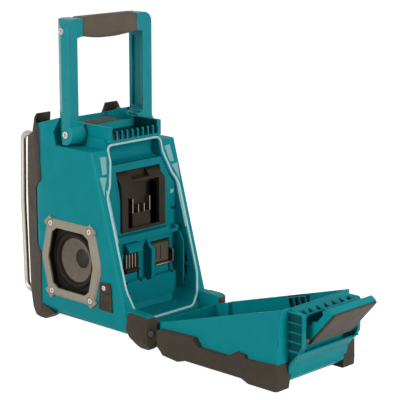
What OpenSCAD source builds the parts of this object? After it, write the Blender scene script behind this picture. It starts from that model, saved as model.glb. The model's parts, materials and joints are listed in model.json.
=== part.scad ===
// Jobsite radio with a battery bay, a rear cover that opens flat and a folding handle.
// X runs across the radio, -Y is its front, +Z is up. The cover is drawn open.

/* [Housing] */
// Width across the two side faces
body_w = 156; // [153:0.5:159]
// Height of the top edge above the floor
top_h = 290.5; // [288:0.5:294]
// Height of the underside above the floor
belly_h = 16; // [14:0.5:17]
// Depth of the two shelves below the top edge
shelf_drop = 36.5; // [35.5:0.5:38]
// Wall thickness of the mouldings
wall = 2.8; // [2.2:0.1:3.2]
// Reach of the front wall's furthest line from the battery face
front_reach = 169; // [166:0.5:174]
// Slope of the rear rim from the vertical, in degrees
rim_tilt = 16.07; // [15.5:0.1:16.5]
// Distance from the battery face to the foot of the rim plane
rim_foot = 54.9; // [54:0.1:56]

/* [Top tray] */
// Half width of the raised block between the shelves
block_half = 48.3; // [47.5:0.1:49]
// Depth of the block's side walls below the top edge
block_drop = 7; // [5.5:0.5:8]
// Half width of the tray inside the block
tray_half = 44; // [43.5:0.1:45]
// Depth of the tray floor below the top edge
tray_depth = 16; // [15.5:0.1:16.5]
// Depth of the trough floor behind the tray, below the top edge
trough_depth = 26.5; // [25.5:0.1:27]
// Thickness of the tray mat
mat_t = 1.5; // [1:0.1:2.5]
// Number of slots in the comb that the latch hooks behind
comb_n = 9; // [7:2:11]
// Width of one slot of the comb
comb_slot = 7.2; // [6:0.1:7.6]
// Width of one bar of the comb
comb_bar = 2.5; // [2:0.1:3]

/* [Bumpers and feet] */
// Thickness of the front bumpers over the housing's front
bump_t = 3.6; // [3:0.1:5]
// How far the bumpers and feet stand out from the side faces
bump_side = 1; // [0.6:0.1:1.4]
// Diameter of the guard bars
guard_d = 8; // [6:0.5:9]
// Reach of the guard bars beyond the front wall
guard_reach = 22; // [20:0.5:26]
// Reach of the rear feet from the battery face
foot_reach = 90; // [88:0.5:92]

/* [Speakers] */
// Distance of the speaker axis from the battery face
speaker_back = 62.5; // [61:0.1:64]
// Height of the speaker axis
speaker_h = 97; // [95:0.5:99]
// How far the frame stands out from the side face
frame_proud = 3.5; // [2.5:0.1:4.5]
// Radius of the hole for the cone
cone_hole_r = 40.3; // [39.5:0.1:41.5]
// Depth from the side face to the front of the baffle
baffle_depth = 7; // [6.5:0.5:8]

/* [Front panel] */
// Half width of the front panel
panel_half = 50; // [48:0.5:50]
// Height of the panel's lower edge
panel_lo = 46; // [44:0.5:50]
// Depth of the panel's upper edge below the housing's top edge
panel_drop = 42.5; // [40.5:0.5:46.5]
// Diameter of the tuning knob
knob_d = 46; // [40:0.5:50]
// Length of the tuning knob
knob_len = 16; // [12:0.5:18]
// Travel of a key
key_travel = 1.2; // [0.8:0.1:1.4]

/* [Handle] */
// Depth of the handle's pivot below the top edge
pivot_drop = 20; // [19.5:0.1:20.5]
// Distance of the handle's pivot from the battery face
pivot_back = 71.7; // [71:0.1:72.5]
// Length of the handle from its pivot to its top
handle_len = 156.9; // [150:0.1:160]
// Width of each leg
leg_w = 17.7; // [16:0.1:18]
// Depth of each leg from front to rear
leg_d = 28; // [26:0.5:29]
// Radius of the hub at the foot of each leg
hub_r = 14; // [13:0.1:14.5]
// Diameter of the pivot screws' shanks
pivot_d = 6; // [5:0.1:8]
// Diameter of the tube inside the grip
tube_d = 12; // [10:0.5:14]

/* [Battery bay] */
// Width of the seal's bead
seal_w = 3; // [2.6:0.1:3.4]
// How far the seal stands out of the rim plane
seal_proud = 1.5; // [1.2:0.1:1.7]
// Half width of the main terminal holder
holder_half = 41; // [40:0.5:42]
// Height of the holder's lower edge
holder_lo = 140; // [139:0.5:141]
// Height of the holder's slanted top
holder_hi = 222; // [220:0.5:223]
// Height of the shelf's top under the holder
ledge_h = 137; // [136:0.5:138]
// Thickness of that shelf
ledge_t = 9; // [7:0.5:10]

/* [Cover] */
// Distance of the cover's hinge from the battery face
hinge_back = 69.5; // [69:0.1:70.5]
// Height of the cover's hinge
hinge_h = 16.5; // [16:0.1:17.5]
// Diameter of the hinge pin
hinge_d = 4; // [3:0.1:5]
// Gap between the cover's rim and the rim plane
cover_gap = 1.8; // [1.75:0.05:2.1]
// Half width of the cover at its rim
cover_half = 65; // [64:0.1:66]
// How far the cover's side walls lean out, per millimetre of depth
cover_lean = 0.12; // [0.1:0.005:0.13]
// Distance of the closed cover's outer face from the battery face
cover_back = 81; // [80:0.1:82]
// Depth of the closed cover's top wall below the housing's top edge
cover_drop = 33.9; // [33.4:0.1:34.4]
// Radius of the two rounded corners at the cover's latch end
cover_corner = 17; // [12:0.5:20]

/* [Latch] */
// Distance of the latch pivot from the battery face, cover closed
latch_back = 23; // [22.5:0.1:23.5]
// Height of the latch pivot over the closed cover's top wall
latch_rise = 16.4; // [16:0.1:17]
// Length of the lever from its pivot to its tip
lever_len = 58; // [55:0.5:59]
// Half width of the lever
lever_half = 41.5; // [40:0.1:41.8]
// Thickness of the lever with its pad
lever_t = 12; // [11:0.1:12.5]
// Thickness of the grip pad on the lever
pad_t = 3; // [2:0.1:4]
// Diameter of the latch pin
latch_d = 3; // [2.5:0.1:4]
// Angle of the open lever above the closed cover's top, in degrees
latch_open = 41; // [38:0.5:44]

/* [Hidden] */

$fn = 64;
teal = "#008A91";
charcoal = "#3B332B";
graphite = "#2A2724";
stone = "#A79F8F";
silver = "#C9CCCE";

fit = 0.05;
slack = 0.3;
shelf_h = top_h - shelf_drop;
block_h = top_h - block_drop;
tray_floor = top_h - tray_depth;
trough_floor = top_h - trough_depth;
panel_hi = top_h - panel_drop;
pivot_h = top_h - pivot_drop;
handle_top = pivot_h + handle_len;
cover_top = top_h - cover_drop;
latch_h = cover_top + latch_rise;
hw = body_w / 2;
front_y = -front_reach;
guard_y = front_y - guard_reach + guard_d / 2;
sp_y = -speaker_back;
pivot_y = -pivot_back;
hinge_y = hinge_back;
latch_y = latch_back;
side_out = hw + bump_side;
leg_out = hw - slack;
leg_in = leg_out - leg_w;
leg_rear = pivot_y + 9.7;
leg_front = leg_rear - leg_d;
function rim_y(z) = rim_foot - tan(rim_tilt) * z;
tip_cut = 1;
lever_z = lever_t - 5.4;
latch_reach = hinge_y - hinge_h + latch_h + (lever_len - tip_cut) * sin(latch_open) + lever_z * cos(latch_open);
mid_y = (latch_reach - front_reach - guard_reach) / 2;

// Unit vector along v
function unit(v) = v / norm(v);
// Points round corner b, which has its radius as third value, between its neighbours a and c
function corner(a, b, c, n) =
    b[2] == undef || b[2] == 0 ? [[b.x, b.y]] :
    let (p = [b.x, b.y], u = unit([a.x, a.y] - p), v = unit([c.x, c.y] - p))
    let (half = acos(u * v) / 2, t = b[2] / tan(half), m = p + unit(u + v) * b[2] / sin(half))
    [for (k = [0:n]) m + b[2] * unit((p + u * t - m) * (1 - k / n) + (p + v * t - m) * k / n)];
// Outline whose corners are [x, y] or [x, y, radius]
function rounded(c, n = 5) =
    [for (i = [0:len(c) - 1]) each corner(c[(i + len(c) - 1) % len(c)], c[i], c[(i + 1) % len(c)], n)];
// Outline moved inwards by d; it runs anticlockwise
function inset(p, d) = [for (i = [0:len(p) - 1])
    let (a = p[(i + len(p) - 1) % len(p)], b = p[i], c = p[(i + 1) % len(p)])
    let (u = unit(b - a), v = unit(c - b), n = [-u.y, u.x], m = [-v.y, v.x])
    b + d * (n + m) / (1 + n * m)];
// Half outline, listed bottom to top on the +x side, completed by its mirror image
function mirrored(p) = concat(p,
    [for (i = [len(p) - 1:-1:0]) concat([-p[i].x], [for (k = [1:len(p[i]) - 1]) p[i][k]])]);

// Frame of the whole radio: the footprint's centre lies at the origin
module placed() translate([0, -mid_y, 0]) children();
// Outline in (y, z) drawn out along X
module across(x0, x1) translate([x0, 0, 0]) rotate([90, 0, 90]) linear_extrude(x1 - x0) children();
// Outline in (x, z) drawn out along Y
module along(y0, y1) translate([0, y1, 0]) rotate([90, 0, 0]) linear_extrude(y1 - y0) children();
// Outline in (x, y) drawn out upwards
module upward(z0, z1) translate([0, 0, z0]) linear_extrude(z1 - z0) children();
// Frame of the rim plane: z runs up the rim, y out of it
module on_rim() translate([0, rim_foot, 0]) rotate([rim_tilt, 0, 0]) children();
// Round bar along X
module axle(x0, x1, y, z, r) translate([x0, y, z]) rotate([0, 90, 0]) cylinder(h = x1 - x0, r = r);
// Round bar along Y
module post(y0, y1, x, z, r) translate([x, y0, z]) rotate([-90, 0, 0]) cylinder(h = y1 - y0, r = r);
// Block between two corners
module block(a, b) translate(a) cube(b - a);
// The children and their mirror image across the radio's middle
module both_sides() {
    children();
    mirror([1, 0, 0]) children();
}
// The children on the right, or their mirror image on the left
module on_side(s) if (s > 0) children(); else mirror([1, 0, 0]) children();
// Cover as it closes, turned down about its hinge onto the floor
module opened() translate([0, hinge_y, hinge_h]) rotate([-90, 0, 0]) translate([0, -hinge_y,
    -hinge_h]) children();
// Lever's own frame: y points from its tip to its pivot, z out of its pad
module at_latch() translate([0, latch_y, latch_h]) rotate([-latch_open, 0, 0]) children();

// Round bar that follows a path of points in (y, z) at a fixed x
module bent_bar(x, path, r, n = 16) {
    last = len(path) - 1;
    dirs = [for (i = [0:last]) unit(path[min(i + 1, last)] - path[max(i - 1, 0)])];
    ring = [for (i = [0:last]) for (k = [0:n - 1])
        let (a = 360 * k / n, side = [-dirs[i].y, dirs[i].x])
        [x + r * cos(a), path[i].x + side.x * r * sin(a), path[i].y + side.y * r * sin(a)]];
    walls = [for (i = [0:last - 1]) for (k = [0:n - 1])
        [i * n + k, i * n + (k + 1) % n, (i + 1) * n + (k + 1) % n, (i + 1) * n + k]];
    polyhedron(ring, concat(walls, [[for (k = [n - 1:-1:0]) k],
        [for (k = [0:n - 1]) last * n + k]]), convexity = 4);
}
// Wire coil round the X axis
module coil(x0, pitch, turns, r, wire, n = 8, steps = 16) {
    count = turns * steps;
    ring = [for (i = [0:count]) for (k = [0:n - 1])
        let (a = 360 * i / steps, b = 360 * k / n, q = r + wire * cos(b))
        [x0 + pitch * i / steps + wire * sin(b), q * cos(a), q * sin(a)]];
    walls = [for (i = [0:count - 1]) for (k = [0:n - 1])
        [i * n + k, (i + 1) * n + k, (i + 1) * n + (k + 1) % n, i * n + (k + 1) % n]];
    polyhedron(ring, concat(walls, [[for (k = [0:n - 1]) k],
        [for (k = [n - 1:-1:0]) count * n + k]]), convexity = 8);
}

// ---- Housing ----

notch = [[pivot_y - 18.5, shelf_h], [pivot_y - 23, pivot_h + 1.8], [pivot_y - 11, top_h]];
brow_h = top_h - 32.5;
front_line = [[front_y + 43, top_h - 4], [front_y + 27, top_h - 25.5], [front_y + 8.5, brow_h - 1],
    [front_y, 162], [front_y + 6.5, 35], [front_y + 16, belly_h]];
// Place of the brow's upper slope at height z
function brow_y(z) = front_line[1].x
    + (z - front_line[1].y) * (front_line[0].x - front_line[1].x) / (front_line[0].y - front_line[1].y);
body_side = concat([[rim_y(belly_h), belly_h], [rim_y(shelf_h), shelf_h]], notch,
    [[front_y + 46, top_h]], front_line);
cavity_top = tray_floor - 1.5;
cavity_side = concat([[rim_y(belly_h), belly_h], [rim_y(shelf_h), shelf_h], [notch[0].x - 4, shelf_h],
    [notch[0].x - 8, cavity_top], [brow_y(cavity_top), cavity_top]],
    [for (i = [1:5]) front_line[i]]);
crease_y = front_y + 41;
front_half = hw - 20;
body_plan = mirrored([[front_half, front_y - 1], [hw, crease_y], [hw, 100]]);
body_cross = mirrored([[hw - 4, belly_h], [hw, belly_h + 10], [hw, top_h - 4.5], [hw - 3, top_h]]);
cheek_in = hw - 17;
cheek_top = 48;
cheek_rear = foot_reach - 8;
// Height of the arc about the hinge that the cover's lower edge swings over
swing_r = cheek_top - hinge_h;
function swing_z(y) = hinge_h + sqrt(swing_r * swing_r - pow(y - hinge_y, 2));
function swing_arc(y) = [for (k = [0:4]) let (q = y + (hinge_y - y) * k / 4) [q, swing_z(q)]];

// Half outline of the seal, bottom to top; its sides keep their distance from the side faces
seal_side = hw - 9;
seal_top = shelf_h + 6.4;
seal_out = rounded(mirrored([[48, 28.5, 14], [seal_side - 8, 44, 16], [seal_side, 72, 30],
    [seal_side, seal_top - 66.4, 12], [60, seal_top - 51.4, 8], [51, seal_top - 22.4, 14],
        [51, seal_top, 9]]));
mouth_lo = 31.5;

module shell_solid() intersection() {
    across(-hw, hw) polygon(body_side);
    upward(0, top_h + 1) polygon(body_plan);
    along(front_y - 2, 100) polygon(body_cross);
    on_rim() upward(-10, 320) polygon([[-hw, -320], [hw, -320], [hw, -6], [hw - 0.7, -2.4], [hw - 2.2, 0],
        [2.2 - hw, 0], [0.7 - hw, -2.4], [-hw, -6]]);
}
module shell_cavity() intersection() {
    across(-hw, hw) polygon(inset(cavity_side, wall));
    upward(0, top_h) polygon(inset(body_plan, wall));
    along(front_y, 100) polygon(inset(body_cross, wall));
}
module top_block() {
    across(-block_half, block_half) polygon([[pivot_y - 28, shelf_h - 6], [rim_y(shelf_h - 6), shelf_h - 6],
        [rim_y(seal_top + 1.6), seal_top + 1.6], [comb_out, seal_top + 1.6], [comb_out, block_h],
        [pivot_y - 5, block_h], [pivot_y - 11, top_h], [pivot_y - 28, top_h]]);
    across(-block_half - 1.7, block_half + 1.7) polygon([[pivot_y + hub_r - 1, shelf_h - 3],
        [rim_y(shelf_h) - 1, shelf_h - 3], [rim_y(step_h) - 1, step_h],
        [pivot_y + hub_r - 1, step_h]]);
}
step_h = shelf_h + 14;
comb_out = -14.9;
comb_in = comb_out - 4.4;
comb_half = (comb_n * (comb_slot + comb_bar) - comb_bar) / 2;
comb_top = block_h - 6.5;
ridge_y = pivot_y + 4.7;
tray_front = front_y + 49;
module top_recess() {
    across(-tray_half, tray_half) polygon([[tray_front, tray_floor], [ridge_y - 2, tray_floor],
        [ridge_y - 2, tray_floor + 4.5], [ridge_y, tray_floor + 4.5], [ridge_y + 3.6, trough_floor + 1.5],
        [ridge_y + 5.5, trough_floor], [comb_in, trough_floor], [comb_in, top_h + 2],
            [tray_front, top_h + 2]]);
    block([-comb_half, comb_in - 1, comb_top], [comb_half, comb_out + 1, top_h]);
    for (i = [0:comb_n - 1]) translate([i * (comb_slot + comb_bar) - comb_half, 0, 0])
        block([0, comb_in - 1, trough_floor + 1], [comb_slot, comb_out + 1, top_h]);
}

// Speaker opening: an upright octagon with cut corners
opening = [[47.5, 0], [38.5, 37.5], [28, 44.8], [-28, 44.8], [-38.5, 37.5], [-47.5, 0], [-38.5, -37.5],
    [-28, -44.8], [28, -44.8], [38.5, -37.5]];
baffle_x = hw - baffle_depth;
baffle_t = 2.5;
boss_in = hw - 11;
module at_speaker() translate([0, sp_y, speaker_h]) children();
module speaker_well() at_speaker() difference() {
    across(baffle_x - baffle_t, hw - 1) polygon(inset(opening, -2.4));
    across(baffle_x, hw) polygon(opening);
    axle(baffle_x - baffle_t - 1, hw, 0, 0, cone_hole_r);
}
screw_y = 39.1;
screw_z = 48;
jack_y = 3;
jack_z = 57;

module main_housing() color(teal) placed() difference() {
    union() {
        difference() {
            union() {
                shell_solid();
                top_block();
                both_sides() across(cheek_in, hw - wall - slack) polygon(concat([[rim_y(belly_h) - 4,
                    belly_h + 2],
                    [cheek_rear - 6, belly_h - 6], [cheek_rear, belly_h + 2]], swing_arc(cheek_rear),
                    [[rim_y(cheek_top) - 8, cheek_top]]));
            }
            shell_cavity();
            both_sides() at_speaker() across(hw - wall - 2, hw + 1) polygon(opening);
        }
        both_sides() speaker_well();
        both_sides() for (s = [-1, 1]) at_speaker() axle(boss_in, hw - 1, s * screw_y, screw_z, 4);
        both_sides() for (s = [-1, 1]) at_speaker() axle(boss_in, hw - 1, s * screw_y, -screw_z, 4);
        for (p = amp_posts) translate([p.x, p.y, belly_h + 1]) cylinder(h = amp_h - belly_h - 1, r = 3.5);
    }
    top_recess();
    both_sides() upward(shelf_h, top_h + 5) polygon([[block_half, leg_front - 2],
        [leg_out - 7.3, leg_front - 2],
        [hw + 1, pivot_y - 7], [hw + 1, pivot_y], [block_half, pivot_y]]);
    both_sides() foot_screw_place() translate([0, 0, -6]) cylinder(h = 12, r = foot_screw_r + fit);
    both_sides() foot_screw_place() cylinder(h = 12, r = 5);
    on_rim() along(0, seal_proud + fit) seal_ring(fit);
    along(-34, 60) polygon(inset(seal_out, seal_w / 2));
    both_sides() axle(32, hw, pivot_y, pivot_h, pivot_d / 2 + fit);
    both_sides() axle(cheek_in - 1, cheek_in + 7, hinge_y, hinge_h, hinge_d / 2 + fit);
    block([-panel_half - slack, front_y - 5, panel_lo - slack],
        [panel_half + slack, panel_y + panel_t, panel_hi + slack]);
    block([-panel_half + 4, front_y - 5, panel_lo + 4], [panel_half - 4, panel_y + 20, panel_hi - 4]);
    both_sides() at_speaker() for (s = [-1, 1]) for (t = [-1, 1])
        axle(hw - 9, hw + 1, s * screw_y, t * screw_z, 1.55);
    axle(hw - 15, hw + 1, jack_y, jack_z, jack_r + fit);
    axle(hw - 9, hw + 1, flap_screw_y, flap_screw_z, 1.55);
}

// ---- Battery bay ----

// Inner face of the bay from the floor to the trough's top, in (y, z)
trough_z = seal_top - 15.9;
bay_line = [[8, mouth_lo], [3, 38], [3, 70], [-3, 72], [-3, 184], [rim_y(196) - 3, 196],
    [rim_y(trough_z - 12.5) - 2, trough_z - 12.5]];
bay_trough = [for (i = [0:8]) let (a = 270 - 180 * i / 8)
    [rim_y(trough_z) - 4 + 13 * cos(a), trough_z + 12.5 * sin(a)]];
bay_mouth = rounded(mirrored([[46, mouth_lo, 12], [seal_side - 11, 45, 16], [seal_side - 4, 72, 30],
    [seal_side - 6, seal_top - 66.4, 12], [55, seal_top - 51.4, 8], [46, seal_top - 24.4, 10],
    [46, seal_top - 3.4, 6]]));
bay_t = 2.6;
term_z = 84;
fin_x = -2;
module bay_frame() color(teal) placed() {
    difference() {
        intersection() {
            along(-40, 60) polygon(inset(seal_out, seal_w / 2 + fit * 4));
            across(-hw, hw) polygon(concat([[rim_y(20), 20], [0, 20]],
                [for (p = bay_line) p - [bay_t + 1, 0]],
                [for (p = bay_trough) p - [bay_t, 0]], [[rim_y(seal_top + 3.6) - 18, seal_top + 3.6],
                [rim_y(seal_top + 3.6), seal_top + 3.6]]));
        }
        intersection() {
            along(-40, 60) polygon(bay_mouth);
            across(-hw, hw) polygon(concat([[80, mouth_lo]], bay_line, bay_trough, [[80, seal_top - 3.4]]));
        }
        block([-holder_half - slack, -40, holder_lo - slack], [holder_half + slack, 20, holder_hi + slack]);
        block([10, -10, term_z - 3], [36, 5, term_z + 28]);
        block([-50, -10, term_z - 3], [-16, 5, term_z + 34]);
        for (x = [8, 34.6, -17.4, -52]) block([x, -10, term_z - 16], [x + 2.8, 5, term_z + 20]);
        for (s = [0, 1]) post(-8, 10, -57 + 2 * s, 160 + 24 * s, 2);
        for (i = [0:2]) block([-hw, 10, 50 + 17 * i], [-seal_side + 8, 18, 62 + 17 * i]);
    }
    bay_ledge();
    bay_fin();
    terminal_hood();
    for (s = [-1, 1]) across(s > 0 ? 59 : -62, s > 0 ? 62 : -59)
        polygon([[0, 38], [16, 44], [16, 116], [8, 128], [-4, 128]]);
}
module bay_ledge() difference() {
    across(-58, 58) polygon([[-4, ledge_h - ledge_t], [8, ledge_h - ledge_t], [9, ledge_h - 2],
        [7, ledge_h], [-4, ledge_h]]);
    block([-52, 0, ledge_h - 4], [-40, 20, ledge_h + 1]);
}
module bay_fin() intersection() {
    across(fin_x - 7, fin_x) polygon([[-4, 66], [10, 70], [12, 76], [12, 112], [-4, 126]]);
    along(-5, 14) polygon([[fin_x - 7, 60], [fin_x, 60], [fin_x, 116], [fin_x - 3.5, 124],
        [fin_x - 7, 116]]);
}
module terminal_hood() across(12, 37) polygon([[-4, 113], [9, 113], [9, 115.5], [2, 124], [-4, 124]]);

// Seal's bead as it lies on the rim plane, grown by d all round
module seal_ring(d) difference() {
    polygon([for (p = inset(seal_out, -d)) [p.x, p.y / cos(rim_tilt)]]);
    polygon([for (p = inset(seal_out, seal_w + d)) [p.x, p.y / cos(rim_tilt)]]);
}
module bay_gasket() color("#A9CED0") placed() on_rim() along(0, seal_proud) seal_ring(0);

holder_in = 29.3;
holder_face = 17;
module main_terminal() color(graphite) placed() {
    holder_shell();
    block([-holder_face, -15, holder_lo + 3], [holder_face, -5, holder_lo + 23]);
}
module holder_shell() difference() {
    across(-holder_half, holder_half) polygon([[-20, holder_lo], [0, holder_lo], [0, holder_hi - 16],
        [-18, holder_hi], [-20, holder_hi]]);
    block([-holder_in, -14, holder_lo + 4], [holder_in, 1, holder_hi - 15]);
    block([-holder_face, -17, holder_hi - 12], [holder_face, 1, holder_hi - 2]);
    block([-holder_in, -18, holder_lo + 4], [-holder_face - 4, 1, holder_hi - 18]);
}
module main_contacts() color(silver) placed() {
    for (x = [-16, 16]) block([x - 0.5, -14, 163], [x + 0.5, -5, 183]);
    for (x = [-5.3, 5.3]) block([x - 0.5, -14, 163], [x + 0.5, -5, 174]);
}
module terminal_block(x0, x1, z0, z1, depth) {
    block([x0 + slack, -8, z0], [x1 - slack, depth - 3, z1]);
    block([x0 + slack, -8, z0], [x1 - slack, depth, z0 + 3]);
}
module small_terminal() color(graphite) placed() difference() {
    terminal_block(10, 36, term_z, term_z + 27, 2);
    for (i = [0:3]) block([14 + 5.5 * i, -6, term_z + 4], [17 + 5.5 * i, 3, term_z + 25]);
}
module small_contacts() color(silver) placed()
    for (i = [0:3]) block([15 + 5.5 * i, -6, term_z + 5], [16 + 5.5 * i, -1.6, term_z + 24]);
module mid_terminal() color(graphite) placed() difference() {
    union() {
        terminal_block(-50, -16, term_z - 1, term_z + 33, 2);
        block([-50 + slack, -4, term_z - 1], [-48, 6, term_z + 20]);
    }
    for (i = [0:1]) block([-24 - 9 * i, -6, term_z + 8], [-22 - 9 * i, 3, term_z + 26]);
}
module mid_contacts() color(silver) placed()
    for (i = [0:1]) block([-23.5 - 9 * i, -6, term_z + 9], [-22.5 - 9 * i, -1.6, term_z + 25]);

// ---- Boards inside ----

amp_h = 40;
amp_posts = [for (x = [-34, 34]) for (y = [-110, -30]) [x, y]];
module amplifier_board() color("#1F5B3A") placed() {
    block([-40, -118, amp_h], [40, -22, amp_h + 1.6]);
    for (i = [0:3]) block([-34 + 18 * i, -70, amp_h + 1.6], [-22 + 18 * i, -64, amp_h + 22]);
    for (i = [0:2]) translate([-26 + 24 * i, -94, amp_h + 1.6]) cylinder(h = 18, r = 7);
}

// ---- Front panel and controls ----

panel_t = 3;
panel_y = front_y + 6;
board_y = panel_y + 13;
lens_hi = panel_hi - 12;
lens_lo = lens_hi - 40;
lens_half = 35;
knob_z = panel_lo + 58;
key_w = 16;
key_h = 9;
key_x = [-24, 0, 24, -24, 0, 24];
key_row = lens_lo - 22;
key_z = [key_row, key_row, key_row, key_row - 16, key_row - 16, key_row - 16];
module front_panel() color("#1D1C1B") placed() difference() {
    union() {
        block([-panel_half, panel_y, panel_lo], [panel_half, panel_y + panel_t, panel_hi]);
        for (x = [-42, 42]) for (z = [panel_lo + 12, panel_hi - 12]) post(panel_y + 1, board_y, x, z, 3);
        difference() {
            post(panel_y - 1.5, panel_y + 1, 0, knob_z, knob_d / 2 + 5);
            post(panel_y - 2, panel_y + 2, 0, knob_z, knob_d / 2 + 3.5);
        }
    }
    block([-lens_half - slack, panel_y - 1, lens_lo - slack],
        [lens_half + slack, panel_y + 9, lens_hi + slack]);
    post(panel_y - 2, panel_y + 9, 0, knob_z, 4.6);
    for (i = [0:5]) translate([key_x[i], 0, key_z[i]])
        block([-key_w / 2 - slack, panel_y - 1, -key_h / 2 - slack],
            [key_w / 2 + slack, panel_y + 9, key_h / 2 + slack]);
}
module display_lens() color("#20282B") placed()
    block([-lens_half, panel_y + 0.6, lens_lo], [lens_half, panel_y + 2.6, lens_hi]);
module lcd_module() color("#4A5A50") placed() {
    block([-lens_half + 1, panel_y + 2.9, lens_lo + 1], [lens_half - 1, panel_y + 7, lens_hi - 1]);
    block([-lens_half + 4, panel_y + 7, lens_lo + 4], [lens_half - 4, board_y, lens_hi - 4]);
}
module control_board() color("#1F5B3A") placed()
    block([-45.5, board_y, panel_lo + 5], [45.5, board_y + 1.6, panel_hi - 5]);
key_back = panel_y + 5;
keypad_y = key_back + key_travel + slack;
module keypad() color("#3A3A3C") placed() difference() {
    block([-38, keypad_y, key_row - 26], [38, board_y, key_row + 10]);
    for (i = [0:5]) translate([key_x[i], 0, key_z[i]])
        block([-key_w / 2 + 1.5, keypad_y - 1, -key_h / 2 + 1.5],
            [key_w / 2 - 1.5, keypad_y + 3, key_h / 2 - 1.5]);
}
module key_cap(i) color("#3A3632") placed() translate([key_x[i], 0, key_z[i]]) {
    along(panel_y - 1.6, key_back) polygon(rounded([[-key_w / 2, -key_h / 2, 1.5],
        [key_w / 2, -key_h / 2, 1.5],
        [key_w / 2, key_h / 2, 1.5], [-key_w / 2, key_h / 2, 1.5]]));
    block([-key_w / 2 - 1.5, panel_y + panel_t + slack, -key_h / 2 - 1.5],
        [key_w / 2 + 1.5, key_back, key_h / 2 + 1.5]);
}
module tuning_knob() color("#33302D") placed() translate([0, panel_y - slack, knob_z]) rotate([90, 0,
    0]) difference() {
    union() {
        rotate_extrude() polygon([[0, 2], [knob_d / 2, 2], [knob_d / 2, 4], [knob_d / 2 - 2, 5],
            [knob_d / 2 - 3, knob_len - 2], [knob_d / 2 - 5, knob_len], [0, knob_len]]);
        cylinder(h = 3, r = 7);
    }
    translate([0, 0, -1]) cylinder(h = 11, r = 3 + fit);
    for (i = [0:23]) rotate([0, 0, 15 * i]) translate([knob_d / 2, 0, 5]) cylinder(h = knob_len, r = 1.2);
}
module encoder() color("#8C8F91") placed() {
    post(panel_y - 9, board_y - 4, 0, knob_z, 3);
    post(panel_y - slack, board_y - 4, 0, knob_z, 4.4);
    block([-7, board_y - 6, knob_z - 7], [7, board_y, knob_z + 7]);
}
module tray_mat() color("#7C7466") placed() difference() {
    block([-tray_half + slack, tray_front + slack, tray_floor],
        [tray_half - slack, ridge_y - 2 - slack, tray_floor + mat_t]);
    translate([20, ridge_y - 2, tray_floor - 1]) cylinder(h = mat_t + 2, r = 7);
}

// ---- Bumpers, bars and feet ----

bumper_side = concat([[front_y + 19, 4], [front_y + 29, 0], [front_y + 41, 0], [front_y + 56.3, 9],
    [front_y + 71.3, belly_h], [front_y + 43.5, 26.6], [front_y + 45, 100.7], [front_y + 33.6, 110],
    [front_y + 32.3, top_h - 101.5], [front_y + 47.5, top_h - 88.5], [front_y + 46, top_h - 60.5],
    [front_y + 45, top_h - 17.5],
    [front_y + 57, top_h - 0.5], [front_y + 53.5, top_h + 3.2], [front_y + 46.4, top_h + 3.7],
    [front_y + 39, top_h - 0.5]],
    [for (i = [1:4]) front_line[i] + [-bump_t, 0]], [[front_y + 10.5, 11]]);
module front_bumper(s) color(charcoal) placed() on_side(s) difference() {
    intersection() {
        across(panel_half + 1, side_out) polygon(bumper_side);
        upward(-1, top_h + 9) polygon([[panel_half + 1, front_y - bump_t - 1],
            [front_half + 1, front_y - bump_t - 1],
            [front_half + 4.5, front_y - 1], [side_out, crease_y], [side_out, 0], [panel_half + 1, 0]]);
        along(front_y - 20, 0) polygon([[0, 0], [side_out - 9, 0], [side_out, 14], [side_out, top_h - 3],
            [side_out - 4, top_h + 4], [0, top_h + 4]]);
    }
    shell_solid();
    bent_bar(guard_x, guard_path, guard_d / 2 + fit);
}
guard_x = 56;
guard_top = brow_h;
guard_path = concat([[front_y + 12, guard_top - 2], [guard_y + 14, guard_top]],
    [for (i = [1:5]) [guard_y + 14.5 - 12 * sin(18 * i), guard_top - 12 + 12 * cos(18 * i)]],
    [[guard_y, 159]],
    [for (i = [0:5]) [guard_y + 15.5 - 12 * cos(18 * i), 43 - 12 * sin(18 * i)]],
    [[front_y + 12, 31]]);
module guard_bar(s) color(silver) placed() on_side(s) difference() {
    bent_bar(guard_x, guard_path, guard_d / 2);
    shell_solid();
}

foot_side = concat([[45, 24], [58.7, 3.7], [64, 0], [78, 0], [86, 5], [foot_reach, 16]],
    [for (p = swing_arc(foot_reach)) [p.x, min(p.y, cheek_top - 1)]], [[49, cheek_top - 1]]);
foot_in = cheek_in;
module rear_foot(s) color(charcoal) placed() on_side(s) difference() {
    intersection() {
        across(foot_in, side_out) polygon(foot_side);
        upward(-1, 60) polygon([[foot_in, 0], [side_out, 0], [side_out, foot_reach - 18],
            [side_out - 4, foot_reach - 8],
            [side_out - 14, foot_reach], [foot_in, foot_reach]]);
        along(0, 100) polygon([[0, 0], [side_out - 9, 0], [side_out, 14], [side_out, 60], [0, 60]]);
    }
    across(0, hw - wall - slack + fit) polygon([[0, belly_h + 1.9], [cheek_rear - 6, belly_h - 6.1],
        [cheek_rear + fit, belly_h + 2],
        [cheek_rear + fit, 60], [0, 60]]);
    across(0, hw + fit) polygon([[0, belly_h], [rim_y(belly_h) + fit, belly_h], [rim_y(60) + fit, 60],
        [0, 60]]);
    block([0, 0, belly_h - 6], [cheek_in - fit, hinge_y + 8, 60]);
    axle(cheek_in - 5, cheek_in + 7, hinge_y, hinge_h, hinge_d / 2 + fit);
    foot_screw_place() cylinder(h = 12, r = 5);
    foot_screw_place() translate([0, 0, -6]) cylinder(h = 12, r = foot_screw_r + fit);
}
foot_screw_r = 1.9;
screw_sink = 7;
module foot_screw_place() translate([side_out - 9, foot_reach - screw_sink, 25]) rotate([-90, 0,
    -42]) children();
module rear_foot_screws() color("#26282A") placed() both_sides() foot_screw_place() translate([0, 0,
    -5]) difference() {
    union() {
        cylinder(h = 5.1, r = foot_screw_r);
        translate([0, 0, 5.05]) cylinder(h = 2.6, r = 4.2);
    }
    translate([0, 0, 6.4]) cylinder(h = 2, r = 1.9, $fn = 6);
}

// ---- Speakers ----

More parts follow.
